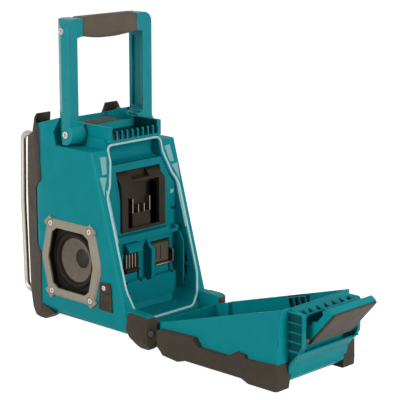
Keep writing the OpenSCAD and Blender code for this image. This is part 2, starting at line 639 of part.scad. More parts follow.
// Frame's outline and the plate that carries one of its screws
frame_out = [[60, -6], [60, 7], [51, 42], [45, 54.5], [-45, 54.5], [-50, 40], [-59.5, 3], [-59.5, -6],
    [-49, -44], [-45, -54.5], [45, -54.5], [48.5, -45]];
lug = [[27, 45.5], [40, 38], [53, 48.5], [40.5, 59]];
bevel = 3;
plug_in = baffle_x + 1.5;
head_r = 4.3;
module speaker_frame(s) color(stone) placed() on_side(s) at_speaker() difference() {
    union() {
        hull() {
            across(hw, hw + 0.6) polygon(frame_out);
            across(hw, hw + frame_proud - 0.8) polygon(inset(frame_out, bevel));
        }
        for (a = [-1, 1]) for (b = [-1, 1]) hull() {
            across(hw, hw + frame_proud - 1) polygon([for (p = lug) [a * p.x, b * p.y]]);
            across(hw, hw + frame_proud) polygon([for (p = inset(lug, 1)) [a * p.x, b * p.y]]);
        }
        across(plug_in, hw + 1) polygon(inset(opening, slack));
    }
    across(plug_in - 1, hw + 9) polygon(inset(opening, slack + 1.6));
    for (a = [-1, 1]) for (b = [-1, 1]) {
        axle(hw - 9, hw + 9, a * screw_y, b * screw_z, 1.6);
        axle(hw + 1, hw + 9, a * screw_y, b * screw_z, head_r + 0.8);
    }
}
module speaker_frame_screws() color(silver) placed() both_sides() at_speaker()
    for (a = [-1, 1]) for (b = [-1, 1]) difference() {
        union() {
            axle(hw - 8, hw + 1.2, a * screw_y, b * screw_z, 1.5);
            axle(hw + 1, hw + frame_proud - 0.3, a * screw_y, b * screw_z, head_r);
        }
        translate([hw + frame_proud - 1.8, a * screw_y, b * screw_z])
            rotate([0, 90, 0]) cylinder(h = 3, r = 2, $fn = 6);
    }
flange_x = baffle_x - baffle_t;
module turned() rotate([0, 90, 0]) rotate_extrude() children();
module speaker_basket(s) color("#3A3C3E") placed() on_side(s) at_speaker() difference() {
    turned() polygon([[12, flange_x - 19.5], [28, flange_x - 19.5], [41, flange_x - 2],
        [46, flange_x - 2], [46, flange_x],
        [36, flange_x], [36, flange_x - 2], [25, flange_x - 18], [12, flange_x - 18]]);
    for (i = [0:3]) rotate([45 + 90 * i, 0, 0]) block([flange_x - 16, 20, -11], [flange_x - 4.5, 60, 11]);
}
module cone_surrounds() color("#2B2A29") placed() both_sides() at_speaker() turned()
    polygon(concat([[36, flange_x], [40, flange_x], [40, flange_x + 1]],
        [for (i = [0:6]) [35.4 + 3.4 * cos(30 * i), flange_x + 1 + 3.4 * sin(30 * i)]],
        [[30.6, flange_x + 1], [30.6, flange_x + 0.2], [32.8, flange_x + 0.2]],
        [for (i = [6:-1:0]) [35.4 + 2.5 * cos(30 * i), flange_x + 1 + 2.5 * sin(30 * i)]]));
module speaker_cones() color("#857A70") placed() both_sides() at_speaker() turned()
    polygon([[12, flange_x - 17], [12.8, flange_x - 17], [12.8, flange_x - 12.2], [31.6, flange_x - 0.7],
        [32, flange_x], [30.6, flange_x], [13.2, flange_x - 11], [12, flange_x - 11.4]]);
module dust_caps() color(charcoal) placed() both_sides() at_speaker() turned()
    polygon(concat([[0, flange_x - 8.6]], [for (i = [1:5]) [2.65 * i, flange_x - 8.6 - 0.085 * i * i]],
        [for (i = [5:-1:0]) [2.5 * i, flange_x - 7.6 - 0.11 * i * i]]));
module speaker_magnets() color("#55585A") placed() both_sides() at_speaker() difference() {
    axle(flange_x - 33.5, flange_x - 19.5, 0, 0, 27);
    axle(flange_x - 27, flange_x - 19, 0, 0, 13.4);
}

// ---- Jack and its flap ----

jack_r = 4.4;
flap_split = 66;
flap_screw_y = 3.8;
flap_screw_z = 72.6;
flap_t = 2.4;
module dc_jack() color("#232425") placed() difference() {
    union() {
        axle(hw - 10.2, hw - 0.4, jack_y, jack_z, jack_r);
        axle(hw - 14, hw - wall - fit, jack_y, jack_z, jack_r - 0.5);
    }
    difference() {
        axle(hw - 9, hw + 1, jack_y, jack_z, 2.8);
        axle(hw - 9.5, hw - 1.5, jack_y, jack_z, 1);
    }
}
module flap_anchor() color(charcoal) placed() difference() {
    across(hw, hw + flap_t) polygon(rounded([[-5.2, flap_split + slack], [18.3, flap_split + slack],
        [18, 73],
        [15.2, 81.2, 2], [-3.5, 79.6, 2]]));
    axle(hw - 1, hw + 5, flap_screw_y, flap_screw_z, 1.6);
    axle(hw + 0.8, hw + 5, flap_screw_y, flap_screw_z, 3.7);
}
module jack_flap() color(charcoal) placed() difference() {
    across(hw + 0.2, hw + flap_t) polygon([[-7.3, 42.5], [-4, 41.2], [19.3, 41.1],
        [18.4, flap_split - slack],
        [-5.3, flap_split - slack]]);
    for (i = [0:3]) across(hw + flap_t - 0.6, hw + 9) polygon([[-3, 45 + 3 * i], [15, 45 + 3 * i],
        [15, 46.2 + 3 * i], [-3, 46.2 + 3 * i]]);
}
module flap_screw() color(silver) placed() difference() {
    union() {
        axle(hw - 8, hw + 1, flap_screw_y, flap_screw_z, 1.5);
        axle(hw + 0.8, hw + flap_t - 0.2, flap_screw_y, flap_screw_z, 3.5);
    }
    translate([hw + 1.2, flap_screw_y, flap_screw_z]) rotate([0, 90, 0]) cylinder(h = 3, r = 1.6, $fn = 6);
}

// ---- Handle ----

grip_half = 49.5;
grip_z = handle_top - 17.8;
grip_y = (leg_front + leg_rear) / 2;
hub_in = block_half + 2;
module handle_leg(s) color(teal) placed() on_side(s) difference() {
    intersection() {
        union() {
            axle(hub_in, leg_out, pivot_y, pivot_h, hub_r);
            across(grip_half + slack, leg_out) polygon([[leg_rear, pivot_h], [leg_rear, handle_top - 1.4],
                [leg_front, handle_top - 1.4], [leg_front, pivot_h + 12],
                    [leg_front + 5, pivot_h - 2], [pivot_y, pivot_h - 10]]);
        }
        along(-200, 0) polygon(rounded([[hub_in, pivot_h - 20], [leg_out, pivot_h - 20],
            [leg_out, handle_top - 1.4, 13],
            [grip_half + slack, handle_top - 1.4], [grip_half + slack, handle_top - 25.5],
            [leg_in, handle_top - 35.5], [leg_in, pivot_h + 18, 3], [hub_in, pivot_h + 15]]));
        upward(200, 500) polygon([[30, -45], [leg_out, -45], [leg_out, leg_rear - 14],
            [leg_out - 8, leg_front],
            [30, leg_front]]);
    }
    axle(30, 90, pivot_y, pivot_h, pivot_d / 2 + fit);
    axle(leg_out - 3.2, 90, pivot_y, pivot_h, 5.7);
    axle(40, leg_out - 9, grip_y, grip_z, tube_d / 2 + fit);
    axle(40, 90, grip_y, grip_z, 2.1);
    axle(leg_out - 3, 90, grip_y, grip_z, 4.8);
    block([leg_in - 1, leg_front + 6, pivot_h + 24], [leg_in + 4, leg_rear - 5, handle_top - 34]);
}
module handle_tube() color(silver) placed() difference() {
    axle(-leg_out + 9.2, leg_out - 9.2, grip_y, grip_z, tube_d / 2);
    axle(-90, 90, grip_y, grip_z, 1.9);
}
module grip_sleeve() color(charcoal) placed() difference() {
    intersection() {
        across(-grip_half, grip_half) polygon(rounded([[leg_front + 1, handle_top - 31, 8],
            [leg_rear, handle_top - 31, 8],
            [leg_rear, handle_top, 9], [leg_front + 1, handle_top, 9]]));
        along(-200, 0) polygon(concat([[grip_half, handle_top], [-grip_half, handle_top]],
            [for (i = [-6:6]) [i * grip_half / 6, handle_top - 30.8 + 5.2 * pow(i / 6, 2)]]));
    }
    axle(-90, 90, grip_y, grip_z, tube_d / 2 + fit);
}
module handle_washers() color(charcoal) placed() both_sides() difference() {
    axle(block_half, hub_in - slack, pivot_y, pivot_h, hub_r - 1.5);
    axle(30, 90, pivot_y, pivot_h, pivot_d / 2 + fit);
}
module pivot_screws() color(silver) placed() both_sides() difference() {
    union() {
        axle(33, leg_out - 2.5, pivot_y, pivot_h, pivot_d / 2);
        axle(leg_out - 2.9, leg_out - 0.5, pivot_y, pivot_h, 5.2);
    }
    translate([leg_out - 2.2, pivot_y, pivot_h]) rotate([0, 90, 0]) cylinder(h = 4, r = 2.4, $fn = 6);
}
module grip_screws() color(silver) placed() both_sides() difference() {
    union() {
        axle(leg_out - 22, leg_out - 2.5, grip_y, grip_z, 1.85);
        axle(leg_out - 3, leg_out - 0.4, grip_y, grip_z, 4.5);
    }
    translate([leg_out - 1.8, grip_y, grip_z]) rotate([0, 90, 0]) cylinder(h = 4, r = 2, $fn = 6);
}

// ---- Cover, drawn closed and then opened about its hinge ----

cover_lo = 24;
cover_step = cheek_in - 1;
cover_high_lo = cheek_top + slack;
shell_t = 2.6;
cover_side = [[rim_y(cover_lo) + cover_gap, cover_lo], [cover_back - 5, cover_lo],
    [cover_back, cover_lo + 5],
    [cover_back, cover_top - 10.6], [cover_back - 8, cover_top], [rim_y(cover_top) + cover_gap, cover_top]];
cheek_x = 50.2;
cheek_t = 3.3;
end_z = cover_top - 3;
cover_face = mirrored([[hw - 1, 0], [hw - 1, end_z, cover_corner], [cheek_x + 2, end_z],
    [cheek_x + 1, cover_top]]);
module cover_section(d) on_rim() upward(-10, 330) polygon([[-cover_half + d - 100 * cover_lean, 100],
    [-cover_half + d, 0], [cover_half - d, 0], [cover_half - d + 100 * cover_lean, 100]]);
module cover_solid() difference() {
    intersection() {
        union() {
            intersection() {
                across(-hw, hw) polygon(cover_side);
                along(-60, 100) polygon(rounded(cover_face));
            }
            both_sides() corner_gusset();
        }
        cover_section(0);
    }
    both_sides() block([cover_step, 0, 0], [hw + 1, 120, cover_high_lo]);
}
// Facet that squares the rounded corner towards the bumper's block
module corner_gusset() hull() {
    along(51.6, 51.8) polygon([[hw - 1.2, end_z - cover_corner], [hw - 1.2, end_z - 3],
        [hw - 4, end_z - 0.2],
        [hw - 1 - cover_corner, end_z - 0.2]]);
    translate([hw - 7.6, 34, end_z - 4.6]) cube(0.2);
}
module cover_cavity() {
    inner_side = [[0, cover_lo + shell_t], [cover_back - 5, cover_lo + shell_t],
        [cover_back - shell_t, cover_lo + 7],
        [cover_back - shell_t, cover_top - 12], [cover_back - 9.5, cover_top - shell_t],
            [-60, cover_top - shell_t]];
    difference() {
        intersection() {
            across(-hw, hw) polygon(inner_side);
            along(-60, 100) polygon(inset(rounded(cover_face), shell_t));
            cover_section(shell_t);
        }
        both_sides() block([cover_step - shell_t, -20, 0], [hw + 1, 120, cover_high_lo + shell_t]);
    }
}
cheek_out = cheek_x + 6;
strip_top = cover_top + 17.9;
strip = [[rim_y(cover_top) + cover_gap + 0.2, cover_top - 1], [-12.3, cover_top - 1], [-6.4, strip_top],
    [-9.5, strip_top]];
cheek_line = [[-13.5, cover_top - 6], [66, cover_top - 6], [66, cover_top + 0.4], [54.3, cover_top + 2.7],
    [40, latch_h - 1], [30, latch_h + 5.6], [-10, latch_h + 6.2], [-13.5, latch_h + 3]];
// Cheek that holds the latch pin: a plate with a rim round it, ribs across it and a boss for the pin
module latch_cheek() {
    across(cheek_x, cheek_x + cheek_t) polygon(cheek_line);
    across(cheek_x, cheek_out) difference() {
        polygon(cheek_line);
        polygon(inset(cheek_line, 2.4));
    }
    for (i = [0:3]) block([cheek_x + 1, 12 * i, cover_top - 5],
        [cheek_out - 0.5, 12 * i + 1.6, latch_h + 4]);
    axle(lever_half + 0.6, cheek_x + 1, latch_y, latch_h, boss_r);
}
boss_r = 3.2;
hole_pitch = 15;
// Pockets inside the side walls, open towards the cover's middle
module wall_pockets() on_rim() difference() {
    block([58.5, 3.4, 160], [66, 22, 193]);
    for (i = [0:2]) block([58, 5.2, 162 + 10.3 * i], [63.2, 20.2, 170.3 + 10.3 * i]);
}
module cover_shell() color(teal) placed() opened() difference() {
    union() {
        difference() {
            cover_solid();
            cover_cavity();
        }
        intersection() {
            both_sides() wall_pockets();
            cover_section(0.5);
        }
        both_sides() latch_cheek();
        across(-cheek_x - 1, cheek_x + 1) polygon([[66, cover_top - 1], [66, cover_top + 0.4],
            [54.3, cover_top + 2.7],
            [40, latch_h - 1], [38.2, latch_h - 3], [52, cover_top + 0.5], [52, cover_top - 1]]);
        across(-cheek_x - 1, cheek_x + 1) polygon(strip);
        for (i = [-3:2]) across((i + 0.5) * hole_pitch - 1, (i + 0.5) * hole_pitch + 1)
            polygon([[-13, cover_top - 1], [6, cover_top - 1], [-8, strip_top - 2.5]]);
        for (s = [-1, 1]) knuckle(s);
    }
    for (i = [-2:2]) along(-20, 0) polygon([[i * hole_pitch - 4, strip_top - 3.5],
        [i * hole_pitch + 4.5, strip_top - 3.5],
        [i * hole_pitch - 1, strip_top - 12.5]]);
    both_sides() block([39.5, -20, strip_top - 11], [48.5, 0, strip_top - 3.5]);
    axle(-cheek_in, cheek_in, hinge_y, hinge_h, hinge_d / 2 + fit);
    axle(-cheek_x - 2.2, cheek_x + 2.2, latch_y, latch_h, latch_d / 2 + fit);
    both_sides() cover_bumper_solid();
}
module knuckle(s) on_side(s) across(46, cover_step - 0.5) polygon(concat([[hinge_y + 6, cover_lo + 1],
    [hinge_y - 5.2, cover_lo + 1]], [for (i = [0:12]) [hinge_y - 5.2 * cos(15 * i),
        hinge_h - 5.2 * sin(15 * i)]]));

// Cover bumper in (y, z) with the cover closed, inner edge first and then the outer one
cover_bump = [[78.4, 53.9], [83.4, 58.7], [86, 85.6], [81.5, 99.4], [81.6, 127], [81.4, 197.4], [86, 209],
    [86, end_z + 0.7], [74, end_z + 2.4], [51.8, end_z + 0.2], [54.7, 203.5], [50.2, 201.5],
        [49.5, 186.4], [58.1, 171.3],
    [58.2, 123.3], [47.9, 113], [50.8, cover_high_lo + 0.4], [74, cover_high_lo + 0.4]];
bump_x = hw - 0.4;
block_in = cheek_x + 1.5;
module cover_bumper_solid() difference() {
    intersection() {
        across(block_in, bump_x) polygon(cover_bump);
        along(0, 100) polygon([[block_in, 40], [bump_x, 40], [bump_x, end_z - 1], [bump_x - 3, end_z + 2],
            [bump_x - 3, cover_top], [block_in, cover_top]]);
    }
    intersection() {
        across(-hw, hw) polygon([[0, 0], [cover_back - 1.2, 0], [cover_back - 1.2, cover_top - 11],
            [cover_back - 9.2, cover_top - 1.2], [0, cover_top - 1.2]]);
        along(-60, 100) polygon(inset(rounded(cover_face), 1.2));
        cover_section(1.2);
    }
    across(0, 62) polygon([[0, 0], [100, 0], [100, 205], [0, 205]]);
}
module cover_bumper(s) color(charcoal) placed() opened() on_side(s) cover_bumper_solid();
module hinge_pin() color(silver) placed() axle(-cheek_in - 6, cheek_in + 6, hinge_y, hinge_h, hinge_d / 2);

// ---- Latch ----

// Side wall of the lever, cut back where it passes over the cover's end strip and the comb
lever_side = [[-lever_len + 1, -5.6], [-45.5, -10.3], [-44, -6.2], [-28, -6.2], [-25, -10.4],
    [-8, -10.4], [-3, -6], [3, -5.8],
    [6.2, -2], [6.2, 1], [4, lever_z - pad_t - 0.6], [-lever_len, lever_z - pad_t]];
module latch_lever() color(teal) placed() opened() at_latch() difference() {
    union() {
        both_sides() across(lever_half - 3, lever_half) polygon(lever_side);
        across(-lever_half + 1, lever_half - 1) polygon([[-lever_len, lever_z - pad_t],
            [-lever_len + 1, -5.6],
            [-lever_len + 3.5, -6.4], [-lever_len + 4, -0.4], [-6, -0.4], [0, -5.9], [3, -5.8],
                [6.2, -2], [6.2, 1],
            [4, lever_z - pad_t - 0.6]]);
        across(-lever_half + 8, lever_half - 8) polygon([[-46.2, -13.3], [-44.4, -13.3],
            [-43.4, -11.3], [-43.4, -1],
            [-47.4, -1]]);
        for (x = [-24, -8, 8, 24]) across(x - 1, x + 1) polygon([[-lever_len + 3, -0.5],
            [-lever_len + 3, -5.8],
            [-47, -8], [-47, -0.5]]);
    }
    axle(-50, 50, 0, 0, latch_d / 2 + fit);
    block([-6, -7, -8], [6, 9, 5]);
}
module latch_pad() color(charcoal) placed() opened() at_latch() difference() {
    across(-lever_half + 1, lever_half - 1) polygon([[-lever_len, lever_z - pad_t], [3.4, lever_z - pad_t],
        [1, lever_z], [-lever_len + tip_cut, lever_z], [-lever_len, lever_z - tip_cut]]);
    block([-26, -50, lever_z - 1.2], [26, -38, lever_z + 1]);
}
module latch_pin() color(silver) placed() opened() axle(-cheek_x - 2, cheek_x + 2, latch_y, latch_h,
    latch_d / 2);
module latch_spring() color("#9A9C9E") placed() opened() translate([0, latch_y, latch_h]) {
    both_sides() coil(lever_half + 1.6, 1.8, 3.5, boss_r + 1.1, 0.8);
}

main_housing();
bay_frame();
front_panel();
display_lens();
lcd_module();
control_board();
keypad();
key_cap(0);  // key_1
key_cap(1);  // key_2
key_cap(2);  // key_3
key_cap(3);  // key_4
key_cap(4);  // key_5
key_cap(5);  // key_6
tuning_knob();
encoder();
tray_mat();
front_bumper(-1);  // front_bumper_left
front_bumper(1);  // front_bumper_right
guard_bar(-1);  // guard_bar_left
guard_bar(1);  // guard_bar_right
rear_foot(-1);  // rear_foot_left
rear_foot(1);  // rear_foot_right
rear_foot_screws();
speaker_frame(-1);  // speaker_frame_left
speaker_frame(1);  // speaker_frame_right
speaker_frame_screws();
speaker_basket(-1);  // speaker_basket_left
speaker_basket(1);  // speaker_basket_right
cone_surrounds();
speaker_cones();
dust_caps();
speaker_magnets();
dc_jack();
flap_anchor();
jack_flap();
flap_screw();
bay_gasket();
main_terminal();
main_contacts();
small_terminal();
small_contacts();
mid_terminal();
mid_contacts();
amplifier_board();
handle_leg(-1);  // handle_leg_left
handle_leg(1);  // handle_leg_right
handle_tube();
grip_sleeve();
handle_washers();
pivot_screws();
grip_screws();
cover_shell();
cover_bumper(-1);  // cover_bumper_left
cover_bumper(1);  // cover_bumper_right
hinge_pin();
latch_lever();
latch_pad();
latch_pin();
latch_spring();
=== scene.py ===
"""Jobsite radio with its battery cover open.

Finishes, fine detail, stage, light and camera round the fixed solids.
"""

import json
from math import radians, sin, cos, tan

import bmesh
import bpy
import numpy as np
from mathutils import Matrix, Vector
from mathutils.bvhtree import BVHTree


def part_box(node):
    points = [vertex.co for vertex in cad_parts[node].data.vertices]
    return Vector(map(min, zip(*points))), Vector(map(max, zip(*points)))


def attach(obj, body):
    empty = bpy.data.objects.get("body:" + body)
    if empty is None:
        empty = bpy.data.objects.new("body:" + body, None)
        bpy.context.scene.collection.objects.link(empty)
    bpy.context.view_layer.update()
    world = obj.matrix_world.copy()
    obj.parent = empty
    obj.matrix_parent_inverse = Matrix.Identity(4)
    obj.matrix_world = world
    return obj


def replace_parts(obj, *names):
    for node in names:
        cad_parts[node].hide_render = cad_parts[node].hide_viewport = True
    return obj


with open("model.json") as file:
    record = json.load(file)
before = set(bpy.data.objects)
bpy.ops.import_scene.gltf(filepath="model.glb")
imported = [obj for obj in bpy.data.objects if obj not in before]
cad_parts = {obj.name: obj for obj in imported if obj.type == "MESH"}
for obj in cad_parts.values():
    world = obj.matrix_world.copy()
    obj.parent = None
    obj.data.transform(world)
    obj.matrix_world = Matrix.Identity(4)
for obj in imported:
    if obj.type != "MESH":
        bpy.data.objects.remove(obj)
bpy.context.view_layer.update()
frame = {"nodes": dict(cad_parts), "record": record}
mm = 0.001
terminal_depth = 20
face_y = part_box("main_terminal")[0][1] + terminal_depth * mm


def gauge(x, y, z):
    """Row point of a place that is measured in mm from the large terminal's face."""
    return Vector((x * mm, y * mm + face_y, z * mm))


# ---- Small helpers for objects and node trees ----

def new_object(name, data):
    """An object at the origin, linked to the scene."""
    thing = bpy.data.objects.new(name, data)
    bpy.context.scene.collection.objects.link(thing)
    return thing


def set_inputs(tree, node, inputs):
    """Sets each input, by name or number, to a plain value or links it to another node's output."""
    for key, value in inputs.items():
        if isinstance(value, bpy.types.NodeSocket):
            tree.links.new(value, node.inputs[key])
        else:
            node.inputs[key].default_value = value


def new_node(tree, kind, inputs, **settings):
    """A node with its settings made and its inputs set or linked."""
    node = tree.nodes.new(kind)
    for key, value in settings.items():
        setattr(node, key, value)
    set_inputs(tree, node, inputs)
    return node


def node_math(tree, operation, *values):
    """Output of a Math node on plain values or other nodes' outputs."""
    return new_node(tree, "ShaderNodeMath", dict(enumerate(values)), operation=operation).outputs[0]


def shade(code):
    """Linear colour of an sRGB code such as 008A91."""
    parts = [int(code[i:i + 2], 16) / 255 for i in (0, 2, 4)]
    return [c / 12.92 if c <= 0.04045 else ((c + 0.055) / 1.055) ** 2.4 for c in parts] + [1]


# ---- Camera, light and stage ----

white = (1, 1, 1, 1)
floor_grey = (0.6, 0.6, 0.6, 1)
floor_half = 6.0
floor_glow = 0.93
room_light = 0.15
backdrop_light = 1.0
lamp_target = (0, 0, 0.18)
softboxes = (
    ("rear_softbox", (-0.3, 2.4, 0.8), 1.2, 38),
    ("side_softbox", (2.4, -0.3, 0.7), 1.2, 33),
    ("top_softbox", (0.3, 0.2, 2.4), 1.4, 7),
)
camera_place = Vector((1.43781, 1.39712, 0.64974))
camera_azimuth, camera_elevation = radians(133.83), radians(12.81)
camera_lens, camera_sensor = 140.3, 36


def aim(thing, place, target):
    """Stands a camera or lamp at place, turned to target."""
    thing.location = place
    thing.rotation_euler = (Vector(place) - Vector(target)).to_track_quat("Z", "Y").to_euler()


def make_camera():
    """Camera off the radio's rear right corner, a little above it."""
    back = Vector((sin(camera_azimuth) * cos(camera_elevation),
                   -cos(camera_azimuth) * cos(camera_elevation), sin(camera_elevation)))
    lens = bpy.data.cameras.new("studio_camera")
    lens.sensor_width = camera_sensor
    lens.lens = camera_lens
    camera = new_object("studio_camera", lens)
    aim(camera, camera_place, camera_place - back)
    bpy.context.scene.camera = camera


def make_softbox(name, place, size, power):
    """Round soft lamp of so many metres and watts, turned to the radio's middle."""
    lamp = bpy.data.lights.new(name, "AREA")
    lamp.shape = "DISK"
    lamp.size = size
    lamp.energy = power
    aim(new_object(name, lamp), place, lamp_target)


def seen_directly(tree):
    """1 on rays from the camera and in mirror or glass rays, 0 on the rays that light the radio."""
    path = new_node(tree, "ShaderNodeLightPath", {}).outputs
    either = node_math(tree, "MAXIMUM", path["Is Camera Ray"], path["Is Glossy Ray"])
    return node_math(tree, "MAXIMUM", either, path["Is Transmission Ray"])


def make_world():
    """Pale room: white where it is seen, and faint where it lights the radio."""
    world = bpy.data.worlds.new("pale_room")
    bpy.context.scene.world = world
    world.use_nodes = True
    tree = world.node_tree
    tree.nodes.clear()
    light, backdrop = (
        new_node(tree, "ShaderNodeBackground", {"Color": white, "Strength": strength}).outputs[0]
        for strength in (room_light, backdrop_light))
    mix = new_node(tree, "ShaderNodeMixShader", {"Fac": seen_directly(tree), 1: light, 2: backdrop})
    new_node(tree, "ShaderNodeOutputWorld", {"Surface": mix.outputs[0]})


def make_floor():
    """Pale matte floor that keeps the radio's shadow and is close to white where it is seen."""
    mesh = bpy.data.meshes.new("studio_floor")
    corners = [(x * floor_half, y * floor_half, 0) for x, y in ((-1, -1), (1, -1), (1, 1), (-1, 1))]
    mesh.from_pydata(corners, [], [(0, 1, 2, 3)])
    floor = new_object("studio_floor", mesh)
    paint = bpy.data.materials.new("studio_floor_paint")
    paint.use_nodes = True
    tree = paint.node_tree
    tree.nodes.clear()
    matte = new_node(tree, "ShaderNodeBsdfDiffuse", {"Color": floor_grey})
    lift = node_math(tree, "MULTIPLY", seen_directly(tree), floor_glow)
    glow = new_node(tree, "ShaderNodeEmission", {"Strength": lift})
    both = new_node(tree, "ShaderNodeAddShader", {0: matte.outputs[0], 1: glow.outputs[0]})
    new_node(tree, "ShaderNodeOutputMaterial", {"Surface": both.outputs[0]})
    mesh.materials.append(paint)


bpy.context.scene.view_settings.view_transform = "Standard"
make_camera()
make_world()
make_floor()
for softbox in softboxes:
    make_softbox(*softbox)


# ---- Finishes ----

# Mouldings: how much the flecks add to the cloudy tone, the light that its palest places gain, and
# how far the gloss drifts each way
fleck_share, pale_gain = 0.35, 0.002
gloss_down, gloss_up = 0.05, 0.06
# Bare metal: fineness, darkest tone and depth in mm of its drawn lines
drawn_scale, drawn_dark, drawn_depth = 40, 0.86, 0.01


def noise(tree, vector, scale, detail=2.0, roughness=0.5):
    """Cloudy noise, 0 to 1, with so many waves to the metre."""
    return new_node(tree, "ShaderNodeTexNoise", {
        "Vector": vector, "Scale": scale, "Detail": detail, "Roughness": roughness}).outputs["Fac"]


def spread(tree, value, low, high, from_low=0.3, from_high=0.7):
    """Value stretched from its usual middle range to low and high."""
    return new_node(tree, "ShaderNodeMapRange", {
        "Value": value, "From Min": from_low, "From Max": from_high,
        "To Min": low, "To Max": high}).outputs["Result"]


def blend_colour(tree, factor, dark, light):
    """Colour between dark, where the factor is 0, and light, where it is 1."""
    return new_node(tree, "ShaderNodeMix", {"A": dark, "B": light, "Factor": factor},
                    data_type="RGBA").outputs["Result"]


def relief(tree, height, depth):
    """Surface direction for a height of 0 to 1 that stands for so many metres."""
    return new_node(tree, "ShaderNodeBump", {
        "Height": height, "Distance": depth, "Strength": 1.0}).outputs["Normal"]


def new_finish(name):
    """A new material with its node tree, its surface shader and the place on the piece."""
    material = bpy.data.materials.new(name)
    material.use_nodes = True
    tree = material.node_tree
    place = new_node(tree, "ShaderNodeTexCoord", {}).outputs["Object"]
    return material, tree, tree.nodes["Principled BSDF"], place


def darker(colour, share):
    """Colour that keeps only a share of its light."""
    return [c * share for c in colour[:3]] + [1]


def within(tree, place, low, high):
    """1 between two gauge corners, mirrored across the radio, and 0 outside them."""
    axes = new_node(tree, "ShaderNodeSeparateXYZ", {0: place}).outputs
    low, high = gauge(*low), gauge(*high)
    result = 1.0
    for index, axis in enumerate(axes):
        value = node_math(tree, "ABSOLUTE", axis) if index == 0 else axis
        above = node_math(tree, "GREATER_THAN", value, low[index])
        below = node_math(tree, "LESS_THAN", value, high[index])
        result = node_math(tree, "MULTIPLY", above, result)
        result = node_math(tree, "MULTIPLY", below, result)
    return result


def moulding(name, colour, gloss, tone=0.07, grain=0.05, grain_scale=2200, sheen=0.0,
             specular=0.09, shade_and_face_boxes=()):
    """Moulded plastic or rubber with spark-eroded grain, a cloudy tone and an uneven gloss.

    The gloss is a roughness, the tone a share of the colour and the grain a depth in mm. A place
    in one of the boxes takes the box's colour: painted shade in deep places, and the middle
    terminal's own paler face.
    """
    material, tree, surface, place = new_finish(name)
    cloud = noise(tree, place, scale=38, detail=5, roughness=0.62)
    fleck = noise(tree, place, scale=900, detail=1)
    mottle = node_math(tree, "MULTIPLY_ADD", fleck, fleck_share, cloud)
    base = shade(colour)
    light = [min(1, c * (1 + tone) + pale_gain) for c in base[:3]] + [1]
    tint = blend_colour(tree, spread(tree, mottle, 0, 1, from_low=0.45, from_high=0.9),
                        darker(base, 1 - tone), light)
    # Painted shade: a place in a box over a deep place turns darker; the middle terminal's box
    # gives its paler face
    for low, high, shadow in shade_and_face_boxes:
        tint = blend_colour(tree, within(tree, place, low, high), tint, shade(shadow))
    smears = noise(tree, place, scale=60, detail=4)
    pits = noise(tree, place, grain_scale, detail=2, roughness=0.6)
    set_inputs(tree, surface, {
        "Base Color": tint,
        "Roughness": spread(tree, smears, gloss - gloss_down, gloss + gloss_up),
        "Normal": relief(tree, pits, grain * mm),
        "Specular IOR Level": specular, "Sheen Weight": sheen})
    return material


def metal(name, colour, gloss, brush=0.15, along=(1, 1, 30)):
    """Bare metal with a drawn grain that runs along the axis that along stretches."""
    material, tree, surface, place = new_finish(name)
    stretch = new_node(tree, "ShaderNodeMapping", {
        "Vector": place, "Scale": [drawn_scale / length for length in along]})
    lines = noise(tree, stretch.outputs["Vector"], scale=60, detail=4, roughness=0.7)
    base = shade(colour)
    set_inputs(tree, surface, {
        "Base Color": blend_colour(tree, spread(tree, lines, 0, 1), darker(base, drawn_dark), base),
        "Roughness": spread(tree, lines, gloss - brush / 2, gloss + brush / 2),
        "Normal": relief(tree, lines, drawn_depth * mm), "Metallic": 1.0})
    return material


def cone_weave():
    """Pressed cone fabric: a fine cross weave with a cloudy tone."""
    material, tree, surface, place = new_finish("cone_weave")
    warp, weft = (
        new_node(tree, "ShaderNodeTexWave", {"Vector": place, "Scale": 420, "Distortion": 0.6},
                 bands_direction=direction).outputs["Fac"] for direction in ("Y", "Z"))
    cross = node_math(tree, "MULTIPLY", warp, weft)
    mottle = node_math(tree, "ADD", cross, noise(tree, place, scale=120, detail=4))
    tone = spread(tree, mottle, 0, 1, from_low=0.35, from_high=1.3)
    set_inputs(tree, surface, {
        "Base Color": blend_colour(tree, tone, shade("5F564B"), shade("83786A")),
        "Roughness": 0.72, "Normal": relief(tree, cross, 0.12 * mm)})
    return material


def lens_plastic():
    """Smoked clear window with faint handling haze."""
    material, tree, surface, place = new_finish("lens_plastic")
    haze = noise(tree, place, scale=90, detail=5)
    set_inputs(tree, surface, {
        "Base Color": shade("3A4446"), "Transmission Weight": 0.85, "IOR": 1.49,
        "Roughness": spread(tree, haze, 0.03, 0.14)})
    return material


def board_laminate():
    """Green laminate with copper tracks under the mask."""
    material, tree, surface, place = new_finish("board_laminate")
    tracks = new_node(tree, "ShaderNodeTexBrick", {
        "Vector": place, "Scale": 160, "Mortar Size": 0.05, "Color1": shade("1B5634"),
        "Color2": shade("174B2E"), "Mortar": shade("2F7A4A")})
    set_inputs(tree, surface, {
        "Base Color": tracks.outputs["Color"],
        "Roughness": spread(tree, noise(tree, place, scale=80), 0.35, 0.5)})
    return material


# Two gauge corners in mm and a colour: painted shade over places that lie in deep shade, and the
# middle terminal's own paler face.
# A box counts on both sides of the radio.
speaker_well_shade = ((62, -112, 50), (77.6, -13, 144), "1E1A15")
comb_trough_shade = ((-1, -64.5, 255), (46.5, -17.5, 282.8), "043539")
bay_recess_shade = ((-1, -40, 66), (45, -3.35, 182), "231F1A")
lower_space_shade = ((-1, -40, 38), (47, 2.5, 69.5), "231F1A")
cover_floor_shade = ((-1, 70, 2), (64, 290, 16), "045A60")
cheek_side_shade = ((53.2, 303, 22), (53.75, 330, 101), "034A50")
wall_pocket_shade = ((58.7, 205, 52), (63.35, 243, 81), "034A50")
holder_slot_shade = ((17.2, -40, 100), (29.6, -4.5, 200), "0D0B09")
terminal_face = ((19, -2, 88), (47, 0.5, 114), "5B5247")
frame_inside_shade = ((60, -120, 40), (78.2, 0, 160), "25201A")

